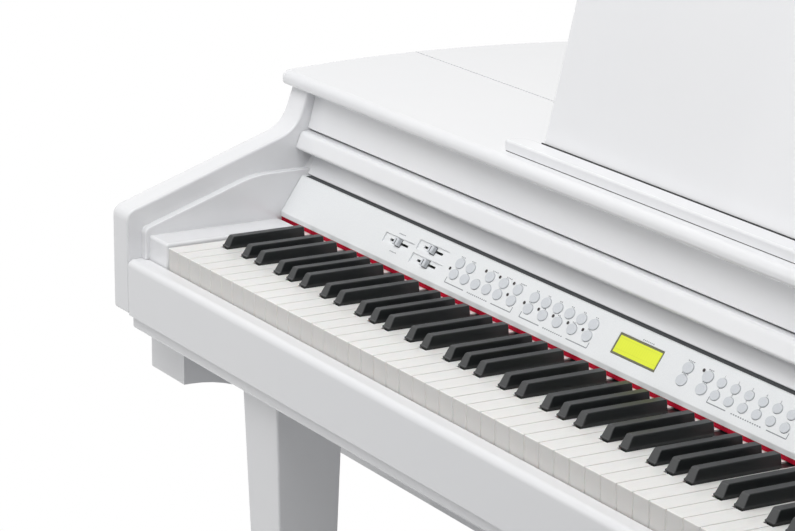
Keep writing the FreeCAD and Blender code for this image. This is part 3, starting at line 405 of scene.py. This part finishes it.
def roundEdges(piece, width, segments=2):
    pickOnly(piece)
    bevel = piece.modifiers.new("edgeRound", "BEVEL")
    bevel.width = width
    bevel.segments = segments
    bevel.limit_method = "ANGLE"
    bpy.ops.object.modifier_apply(modifier=bevel.name)


def joinAs(name, pieces):
    clearSelection()
    for piece in pieces:
        piece.select_set(True)
    bpy.context.view_layer.objects.active = pieces[0]
    bpy.ops.object.join()
    joined = bpy.context.object
    joined.name = name
    return joined


def copyTo(piece, name, shift):
    twin = piece.copy()
    twin.data = piece.data.copy()
    twin.name = name
    bpy.context.scene.collection.objects.link(twin)
    twin.location = Vector(twin.location) + Vector(shift)
    return twin


def finishPiece(piece, body, material):
    applyPlace(piece)
    bpy.ops.object.shade_smooth_by_angle(angle=math.radians(40))
    piece.data.materials.clear()
    piece.data.materials.append(material)
    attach(piece, body)
    return piece


# the control panel's own frame: x from the left end of the keyboard, y up its slope, z out of its face
panelPlace = {"tilt": 55.4, "lipHeight": 0.005, "keyboardHalf": 0.611}


def onPanel(piece):
    low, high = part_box("control_panel")
    foot = Vector((-panelPlace["keyboardHalf"], low[1], low[2] + panelPlace["lipHeight"]))
    piece.matrix_world = (Matrix.Translation(foot)
                          @ Matrix.Rotation(math.radians(panelPlace["tilt"]), 4, "X") @ piece.matrix_world)
    applyPlace(piece)
    return piece


lamps = {
    "radius": 0.0016, "proud": 0.0006,
    "left": [(0.2835, 0.0196), (0.3393, 0.0314), (0.3642, 0.0316), (0.3892, 0.0316), (0.3888, 0.0197)],
    "middle": [(0.4187 + 0.025 * i, 0.0195) for i in range(5)],
    "right": [(0.699, 0.0313)],
}


def makeLamps():
    # smoked lenses of the indicator lamps: a low dome over each hole
    lens = addRound("lampLens", (0, 0, lamps["proud"] / 2), lamps["radius"], lamps["proud"], 16)
    selectFaces(lens, lambda face: face.normal.z > 0.9)
    bpy.ops.mesh.inset(thickness=lamps["radius"] * 0.35)
    bpy.ops.transform.translate(value=(0, 0, lamps["proud"] * 0.4))
    bpy.ops.object.mode_set(mode="OBJECT")
    for group in ("left", "middle", "right"):
        for i, (x, up) in enumerate(lamps[group]):
            twin = copyTo(lens, "lampLens_" + group + "_" + str(i), (x, up, 0))
            applyPlace(twin)
            finishPiece(onPanel(twin), "cabinet", smokedLens)
    pickOnly(lens)
    bpy.ops.object.delete()
    print("indicator lamps placed")


ink = {
    "lift": 0.00002, "thick": 0.00008, "line": 0.0009, "hook": 0.0056,
    "dash": 0.0011, "dashLength": 0.0021, "dashPitch": 0.0034,
    "labelDash": 0.0017, "labelWidth": 0.0010, "labelPitch": 0.0026,
}


def inkBar(x, up, length, width):
    # one printed bar with round ends, lying on the panel's face
    clearSelection()
    bpy.ops.mesh.primitive_plane_add(size=1, location=(x, up, ink["lift"]))
    bar = bpy.context.object
    bar.scale = (length, width, 1)
    applyPlace(bar)
    bpy.ops.object.mode_set(mode="EDIT")
    bpy.ops.mesh.select_all(action="SELECT")
    bpy.ops.mesh.bevel(offset=min(length, width) * 0.42, segments=2, affect="VERTICES")
    bpy.ops.mesh.select_all(action="SELECT")
    bpy.ops.mesh.extrude_region_move(TRANSFORM_OT_translate={"value": (0, 0, ink["thick"])})
    bpy.ops.mesh.select_all(action="SELECT")
    bpy.ops.mesh.normals_make_consistent(inside=False)
    bpy.ops.object.mode_set(mode="OBJECT")
    return bar


def makeBracket(name, left, right, up, gap):
    # thin bracket line under a group of buttons, turned up at both ends, open in the middle
    middle = (left + right) / 2
    arm = right - left - gap
    bars = [
        inkBar(left + arm / 4, up, arm / 2, ink["line"]), inkBar(right - arm / 4, up, arm / 2, ink["line"]),
        inkBar(left, up + ink["hook"] / 2, ink["line"], ink["hook"]),
        inkBar(right, up + ink["hook"] / 2, ink["line"], ink["hook"]),
    ]
    count = int(gap / 0.0042)
    for i in range(count):
        bars.append(inkBar(middle + (i - (count - 1) / 2) * ink["dashPitch"], up, ink["dashLength"],
                           ink["dash"]))
    finishPiece(onPanel(joinAs(name, bars)), "cabinet", greyInk)


def makeLabels(name, places, dashes, offset):
    # plain dashes in place of wording beside each button
    bars = []
    for x, up in places:
        for i in range(dashes):
            bars.append(inkBar(x + (i - (dashes - 1) / 2) * ink["labelPitch"], up + offset,
                               ink["labelDash"], ink["labelWidth"]))
    finishPiece(onPanel(joinAs(name, bars)), "cabinet", greyInk)


rows = {
    "upper": 0.0276, "lower": 0.0157, "pitch": 0.020, "widePitch": 0.025, "labelUp": 0.0066,
    "numeralUp": 0.0050, "numeralSize": 0.0034,
}


# each bracket: left end, right end, height up the slope, opening in its line
brackets = {
    "bracketLeft": (0.286, 0.406, 0.0057, 0.050), "bracketMiddle": (0.4217, 0.5365, 0.0058, 0.046),
    "bracketRight": (0.7227, 0.8363, 0.0077, 0.058),
}


def makePrint():
    upper, lower, up = rows["upper"], rows["lower"], rows["labelUp"]
    for name, (left, right, height, gap) in brackets.items():
        makeBracket(name, left, right, height, gap)
    makeLabels("labelsLeft", [(0.2945, upper), (0.314, upper)], 3, up)
    makeLabels("labelsLeftWide", [(0.3535 + rows["widePitch"] * i, upper) for i in range(3)], 4, up)
    makeLabels("labelsMiddle", [(0.429 + rows["pitch"] * i, upper) for i in range(6)], 2, up)
    makeLabels("labelsMiddleLow", [(0.4265 + rows["widePitch"] * i, lower) for i in range(5)], 2,
               up - 0.0003)
    makeLabels("labelsPair", [(0.6783, upper), (0.6783, lower)], 4, up - 0.0003)
    makeLabels("labelsMode", [(0.708, upper), (0.708, lower)], 3, up - 0.0003)
    makeLabels("labelDisplay", [(0.612, 0.0337)], 7, 0)
    makeLabels("labelSliders", [(0.181, 0.0300), (0.181, 0.0105)], 5, 0)
    numerals = []
    for i in range(6):
        for digit, row in ((i + 1, upper), ((i + 7) % 10 if i < 4 else None, lower)):
            if digit is None:
                continue
            clearSelection()
            bpy.ops.object.text_add(location=(0.7283 + rows["pitch"] * i, row + rows["numeralUp"],
                                           ink["lift"]))
            words = bpy.context.object
            words.data.body = str(digit)
            words.data.size = rows["numeralSize"]
            words.data.align_x = "CENTER"
            words.data.extrude = ink["thick"] / 2
            bpy.ops.object.convert(target="MESH")
            applyPlace(bpy.context.object)
            numerals.append(bpy.context.object)
    finishPiece(onPanel(joinAs("keypadNumerals", numerals)), "cabinet", greyInk)
    print("panel print placed")


display = {"middle": (0.6045, 0.0217), "frame": (0.069, 0.020), "window": (0.0652, 0.0162), "sink": 0.0006}


def makeDisplay():
    # bezel: a folded frame round the window; glass: the lit liquid crystal behind it
    x, up = display["middle"]
    wide, tall = display["frame"]
    bezel = addBlock("displayBezel", (x, up, -display["sink"] / 2), (wide, tall, display["sink"]))
    selectFaces(bezel, lambda face: face.normal.z > 0.9)
    bpy.ops.mesh.inset(thickness=(wide - display["window"][0]) / 2)
    bpy.ops.transform.translate(value=(0, 0, -display["sink"] * 0.8))
    bpy.ops.object.mode_set(mode="OBJECT")
    roundEdges(bezel, 0.00012, 2)
    finishPiece(onPanel(bezel), "cabinet", oliveBezel)
    wide, tall = display["window"]
    glass = addBlock("displayGlass", (x, up, -display["sink"] * 0.62), (wide, tall, display["sink"] * 0.3))
    roundEdges(glass, 0.00006, 1)
    finishPiece(onPanel(glass), "cabinet", displayGlow)
    print("display fitted")


sliders = {
    "places": {"first": (0.1805, 0.0212), "upper": (0.241, 0.0283), "lower": (0.241, 0.0137)},
    "knob": (0.0085, 0.0075), "top": 0.0032, "bottom": -0.0012, "skirtOver": 0.0011,
    "can": (0.044, 0.0078), "canTop": -0.0062, "canLow": -0.0074,
}


def makeSliders():
    # black skirt under each knob, a stem plate that also gives the knob a painted shadow outline, grip line
    # on it, and the blackened potentiometer under each slot
    for name, (x, up) in sliders["places"].items():
        wide, tall = sliders["knob"]
        # partly painted shade: the skirt reaches past the knob to draw a dark outline round it
        skirtAndShadow = addBlock("sliderSkirtAndShadow_" + name, (x, up, sliders["bottom"] - 0.0001),
                         (wide + sliders["skirtOver"], tall + sliders["skirtOver"], 0.00024))
        roundEdges(skirtAndShadow, 0.00008, 1)
        finishPiece(onPanel(skirtAndShadow), "slider_" + name, blackAbs)
        grip = addBlock("sliderGrip_" + name, (x, up, sliders["top"] + 0.00006),
                        (0.0009, tall * 0.78, 0.0003))
        roundEdges(grip, 0.0001, 1)
        finishPiece(onPanel(grip), "slider_" + name, blackAbs)
        long, deep = sliders["can"]
        height = sliders["canTop"] - sliders["canLow"]
        can = addBlock("sliderCan_" + name, (x, up, sliders["canTop"] - height / 2), (long, deep, height))
        selectFaces(can, lambda face: face.normal.z > 0.9)
        bpy.ops.mesh.inset(thickness=0.0012)
        bpy.ops.transform.translate(value=(0, 0, -0.0002))
        bpy.ops.object.mode_set(mode="OBJECT")
        roundEdges(can, 0.0002, 1)
        finishPiece(onPanel(can), "cabinet", blackAbs)
    print("sliders dressed")


# insets and reaches are metres from the edge or middle of the board that the screws hold
screws = {
    "radius": 0.0042, "height": 0.0026, "sides": 16, "bedEnd": 0.09, "bedFront": 0.045,
    "boardShare": 0.72, "boardBack": 0.02, "rearStep": 0.22, "rearInset": 0.05,
    "lyreInset": 0.02, "lyreReach": 0.035,
}


def makeScrews():
    # pan-head screws that hold the boards from below
    screw = addRound("screwMaster", (0, 0, -screws["height"] / 2), screws["radius"], screws["height"],
                     screws["sides"])
    selectFaces(screw, lambda face: face.normal.z < -0.9)
    bpy.ops.mesh.inset(thickness=screws["radius"] * 0.22)
    bpy.ops.transform.translate(value=(0, 0, -screws["height"] * 0.25))
    bpy.ops.mesh.inset(thickness=screws["radius"] * 0.36)
    bpy.ops.transform.translate(value=(0, 0, screws["height"] * 0.6))
    bpy.ops.object.mode_set(mode="OBJECT")
    bedLow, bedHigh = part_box("keybed")
    boardLow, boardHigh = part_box("bottom_board")
    lyreLow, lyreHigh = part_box("lyre_box")
    places = []
    for i in range(7):
        x = bedLow[0] + screws["bedEnd"] + (bedHigh[0] - bedLow[0] - 2 * screws["bedEnd"]) * i / 6
        places.append((x, bedLow[1] + screws["bedFront"], bedLow[2]))
    for i in range(5):
        share = screws["boardShare"]
        x = boardLow[0] * share + (boardHigh[0] - boardLow[0]) * share * i / 4
        places.append((x, (boardLow[1] + boardHigh[1]) / 2 + screws["boardBack"], boardLow[2]))
    for i in range(3):
        x = -screws["rearStep"] + screws["rearStep"] * i
        places.append((x, boardHigh[1] - screws["rearInset"], boardLow[2]))
    for x in (-1, 1):
        for y in (-1, 1):
            middle = (lyreLow[1] + lyreHigh[1]) / 2
            places.append((x * (lyreHigh[0] - screws["lyreInset"]), middle + y * screws["lyreReach"],
                           lyreLow[2]))
    for i, spot in enumerate(places):
        finishPiece(copyTo(screw, "boardScrew_" + str(i), spot), "cabinet", steel)
    pickOnly(screw)
    bpy.ops.object.delete()
    print("screws driven", len(places))


# dark lines of the case: reach is half the length, the others are metres from the carrier's own faces
seams = {
    "slot": {"reach": 0.649, "from": 0.0024, "deep": 0.0125, "thick": 0.0005},
    "foot": {"reach": 0.2535, "deep": 0.0014, "tall": 0.0030, "inset": -0.0003, "drop": -0.0006},
    "underLedgeShade": {"reach": 0.2815, "deep": 0.0006, "tall": 0.0006},
}


def makeSeams():
    # dark strips as painted shade: a charcoal strip in the slot behind the control panel, a black strip at
    # the desk's foot, and a dark line under the ledge, each standing in for shadow
    panelLow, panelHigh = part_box("control_panel")
    lean = math.radians(panelPlace["tilt"])
    crest = panelLow[1] + (panelHigh[2] - panelLow[2] - panelPlace["lipHeight"]) / math.tan(lean)
    # painted shade: a charcoal strip in the slot stands in for the shade between the panel and the strip
    # above it
    slot = seams["slot"]
    spot = (0, crest + slot["from"] + slot["deep"] / 2, panelHigh[2] + slot["thick"] / 2)
    pad = addBlock("slotShadeStrip", spot, (2 * slot["reach"], slot["deep"], slot["thick"]))
    roundEdges(pad, slot["thick"] * 0.4, 2)
    finishPiece(pad, "cabinet", slotShade)
    ledgeLow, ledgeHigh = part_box("desk_ledge")
    # painted shade: a black strip where the desk stands on the ledge stands in for the shadow line there
    foot = seams["foot"]
    spot = (0, ledgeHigh[1] - foot["inset"] - foot["deep"] / 2,
            ledgeHigh[2] - foot["drop"] - foot["tall"] / 2)
    strip = addBlock("deskFootShadeStrip", spot, (2 * foot["reach"], foot["deep"], foot["tall"]))
    roundEdges(strip, 0.0004, 2)
    finishPiece(strip, "cabinet", rubber)
    # painted shade: a dark line along the foot of the ledge's front stands in for its shadow line on the lid
    underLedgeShade = seams["underLedgeShade"]
    line = addBlock("ledgeShadeLine", (0, ledgeLow[1] + underLedgeShade["deep"] / 4, ledgeLow[2] + underLedgeShade["tall"] / 2),
                    (2 * underLedgeShade["reach"], underLedgeShade["deep"], underLedgeShade["tall"]))
    roundEdges(line, 0.0001, 1)
    finishPiece(line, "cabinet", rubber)
    print("seams drawn")


# sinks and cuts are metres below the top of the loudspeaker, or below the cap's own depth
driver = {
    "rim": 0.088, "roll": 0.0055, "rollAt": 0.0715, "rollSink": 0.0015, "rollCut": 0.0035,
    "rollWall": 0.0008,
    "cap": 0.029, "capDepth": 0.036, "capSink": 0.003, "capCut": 0.005, "capFlat": 0.45,
    "bolt": 0.0035, "boltHeight": 0.0024, "boltInset": 0.0052,
}


def makeSpeakerDetail():
    # rubber roll and dust cap of each loudspeaker, with the bolts on its basket
    low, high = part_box("speakers")
    y = (low[1] + high[1]) / 2
    for side, x in (("left", low[0] + driver["rim"]), ("right", high[0] - driver["rim"])):
        clearSelection()
        bpy.ops.mesh.primitive_torus_add(location=(x, y, high[2] - driver["rollSink"]),
                                         major_radius=driver["rollAt"], minor_radius=driver["roll"],
                                         major_segments=64, minor_segments=12)
        roll = bpy.context.object
        roll.name = "coneRoll_" + side
        applyPlace(roll)
        selectFaces(roll, lambda face: face.center.z < high[2] - driver["rollCut"])
        bpy.ops.mesh.delete(type="FACE")
        bpy.ops.object.mode_set(mode="OBJECT")
        wall = roll.modifiers.new("rollWall", "SOLIDIFY")
        wall.thickness = driver["rollWall"]
        pickOnly(roll)
        bpy.ops.object.modifier_apply(modifier=wall.name)
        finishPiece(roll, "cabinet", rubber)
        clearSelection()
        capTop = high[2] - driver["capDepth"]
        bpy.ops.mesh.primitive_uv_sphere_add(segments=32, ring_count=16, radius=driver["cap"],
                                             location=(x, y, capTop - driver["capSink"]))
        cap = bpy.context.object
        cap.name = "dustCap_" + side
        cap.scale = (1, 1, driver["capFlat"])
        applyPlace(cap)
        selectFaces(cap, lambda face: face.center.z < capTop - driver["capCut"])
        bpy.ops.mesh.delete(type="FACE")
        bpy.ops.object.mode_set(mode="OBJECT")
        finishPiece(cap, "cabinet", conePaper)
        for i in range(6):
            turn = math.radians(30 + 60 * i)
            reach = driver["rim"] - driver["boltInset"]
            spot = (x + reach * math.cos(turn), y + reach * math.sin(turn),
                    high[2] + driver["boltHeight"] / 2)
            bolt = addRound("basketBolt_" + side + "_" + str(i), spot, driver["bolt"],
                            driver["boltHeight"], 6)
            roundEdges(bolt, 0.0004, 1)
            finishPiece(bolt, "cabinet", steel)
    print("loudspeakers dressed")


inletPins = {
    "places": ((-0.007, -0.002), (0.007, -0.002), (0, 0.003)), "size": (0.002, 0.016, 0.004), "sink": 0.014,
}


def makeInletPins():
    # three flat contacts inside the mains inlet
    low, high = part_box("power_inlet")
    x = (low[0] + high[0]) / 2
    z = (low[2] + high[2]) / 2
    for i, (dx, dz) in enumerate(inletPins["places"]):
        spot = (x + dx, high[1] - inletPins["sink"], z + dz)
        pin = addBlock("inletPin_" + str(i), spot, inletPins["size"])
        roundEdges(pin, 0.0005, 2)
        finishPiece(pin, "cabinet", brass)
    print("inlet contacts fitted")


makeLamps()
makePrint()
makeDisplay()
makeSliders()
makeScrews()
makeSeams()
makeSpeakerDetail()
makeInletPins()


studio = {
    "worldLight": 0.41, "topPower": 18.5, "rightPower": 13.5, "leftPower": 4.0, "backPower": 9.0,
    "floorHex": "#b9babb", "floorPale": "#c1c2c3", "floorSeen": "#fafafa",
    "shadowReach": 0.7, "whiteReach": 1.4,
}

# where each softbox stands, the point it faces, and its size
softboxes = {
    "top": ((-0.75, -1.35, 2.6), (-0.2, -0.3, 0.75), (1.8, 1.5)),
    "right": ((0.4, -1.1, 2.7), (-0.2, -0.3, 0.75), (1.4, 1.2)),
    "left": ((-1.7, -2.2, 1.7), (-0.2, -0.3, 0.7), (1.2, 1.6)),
    "back": ((-1.5, 2.8, 1.6), (0, 0.3, 0.7), (1.8, 1.4)),
}


def makeWorld():
    world = bpy.data.worlds.new("studioWorld")
    world.use_nodes = True
    tree = world.node_tree
    tree.nodes.clear()
    ray = addNode(tree, "ShaderNodeLightPath")
    seen = addNode(tree, "ShaderNodeMath", {"operation": "MAXIMUM"})
    tree.links.new(ray.outputs["Is Camera Ray"], seen.inputs[0])
    tree.links.new(ray.outputs["Is Glossy Ray"], seen.inputs[1])
    seenToo = addNode(tree, "ShaderNodeMath", {"operation": "MAXIMUM"})
    tree.links.new(seen.outputs[0], seenToo.inputs[0])
    tree.links.new(ray.outputs["Is Transmission Ray"], seenToo.inputs[1])
    soft = addNode(tree, "ShaderNodeBackground", {"Color": (1, 1, 1, 1), "Strength": studio["worldLight"]})
    white = addNode(tree, "ShaderNodeBackground", {"Color": (1, 1, 1, 1), "Strength": 1.0})
    mix = addNode(tree, "ShaderNodeMixShader", None, {"Fac": seenToo.outputs[0]})
    tree.links.new(soft.outputs[0], mix.inputs[1])
    tree.links.new(white.outputs[0], mix.inputs[2])
    addNode(tree, "ShaderNodeOutputWorld", None, {"Surface": mix.outputs[0]})
    bpy.context.scene.world = world


def addSoftbox(name, spot, aim, size, power):
    lamp = bpy.data.lights.new(name, "AREA")
    lamp.shape = "RECTANGLE"
    lamp.size, lamp.size_y = size
    lamp.energy = power
    holder = bpy.data.objects.new(name, lamp)
    bpy.context.scene.collection.objects.link(holder)
    holder.location = spot
    holder.rotation_euler = (Vector(aim) - Vector(spot)).to_track_quat("-Z", "Y").to_euler()


def makeFloor():
    # matt vinyl: looked at, it is pale and goes to plain white away from the piano's shadow; the light it
    # throws back up at the piano is that of a grey floor
    material = bpy.data.materials.new("greyVinylFloor")
    material.use_nodes = True
    tree = material.node_tree
    shader = tree.nodes["Principled BSDF"]
    shader.inputs["Roughness"].default_value = 0.8
    shader.inputs["Specular IOR Level"].default_value = 0.2
    place = addNode(tree, "ShaderNodeTexCoord").outputs["Object"]
    grain = addNode(tree, "ShaderNodeTexNoise", {"Scale": 1 / 0.02, "Detail": 3.0}, {"Vector": place})
    colour = setRamp(addNode(tree, "ShaderNodeValToRGB", None, {"Fac": grain.outputs["Fac"]}),
                     [(0.3, linear(studio["floorHex"])), (0.7, linear(studio["floorPale"]))])
    ray = addNode(tree, "ShaderNodeLightPath")
    tint = addNode(tree, "ShaderNodeMix", {"data_type": "RGBA"}, {"Factor": ray.outputs["Is Camera Ray"]})
    tree.links.new(colour, tint.inputs[6])
    tint.inputs[7].default_value = linear(studio["floorSeen"])
    tree.links.new(tint.outputs[2], shader.inputs["Base Color"])
    length = addNode(tree, "ShaderNodeVectorMath", {"operation": "LENGTH"})
    tree.links.new(place, length.inputs[0])
    far = addNode(tree, "ShaderNodeMapRange", {"From Min": studio["shadowReach"],
                  "From Max": studio["whiteReach"], "interpolation_type": "SMOOTHSTEP"},
                  {"Value": length.outputs["Value"]})
    seen = addNode(tree, "ShaderNodeMath", {"operation": "MAXIMUM"})
    tree.links.new(ray.outputs["Is Camera Ray"], seen.inputs[0])
    tree.links.new(ray.outputs["Is Glossy Ray"], seen.inputs[1])
    plain = addNode(tree, "ShaderNodeMath", {"operation": "MULTIPLY"})
    tree.links.new(far.outputs["Result"], plain.inputs[0])
    tree.links.new(seen.outputs[0], plain.inputs[1])
    white = addNode(tree, "ShaderNodeEmission", {"Color": (1, 1, 1, 1), "Strength": 1.0})
    mix = addNode(tree, "ShaderNodeMixShader", None, {"Fac": plain.outputs[0]})
    tree.links.new(shader.outputs[0], mix.inputs[1])
    tree.links.new(white.outputs[0], mix.inputs[2])
    tree.links.new(mix.outputs[0], tree.nodes["Material Output"].inputs["Surface"])
    bpy.ops.object.select_all(action="DESELECT")
    bpy.ops.mesh.primitive_circle_add(vertices=64, radius=30, fill_type="NGON")
    floor = bpy.context.object
    floor.name = "studioFloor"
    floor.data.materials.append(material)


def makeCamera():
    view = {"spot": (2.3425, -1.8421, 1.5979), "yaw": 60.80, "pitch": 15.21, "roll": 0.15, "lens": 153.4}
    lens = bpy.data.cameras.new("studioCamera")
    lens.lens = view["lens"]
    lens.sensor_width = 36.0
    lens.clip_end = 100
    camera = bpy.data.objects.new("studioCamera", lens)
    bpy.context.scene.collection.objects.link(camera)
    turn = (Matrix.Rotation(math.radians(view["yaw"]), 3, "Z")
            @ Matrix.Rotation(math.radians(90 - view["pitch"]), 3, "X")
            @ Matrix.Rotation(math.radians(view["roll"]), 3, "Z"))
    camera.location = view["spot"]
    camera.rotation_euler = turn.to_euler()
    bpy.context.scene.camera = camera


makeWorld()
for side, (spot, aim, size) in softboxes.items():
    addSoftbox(side + "Softbox", spot, aim, size, studio[side + "Power"])
makeFloor()
makeCamera()
bpy.context.scene.view_settings.view_transform = "Standard"
print("studio ready")
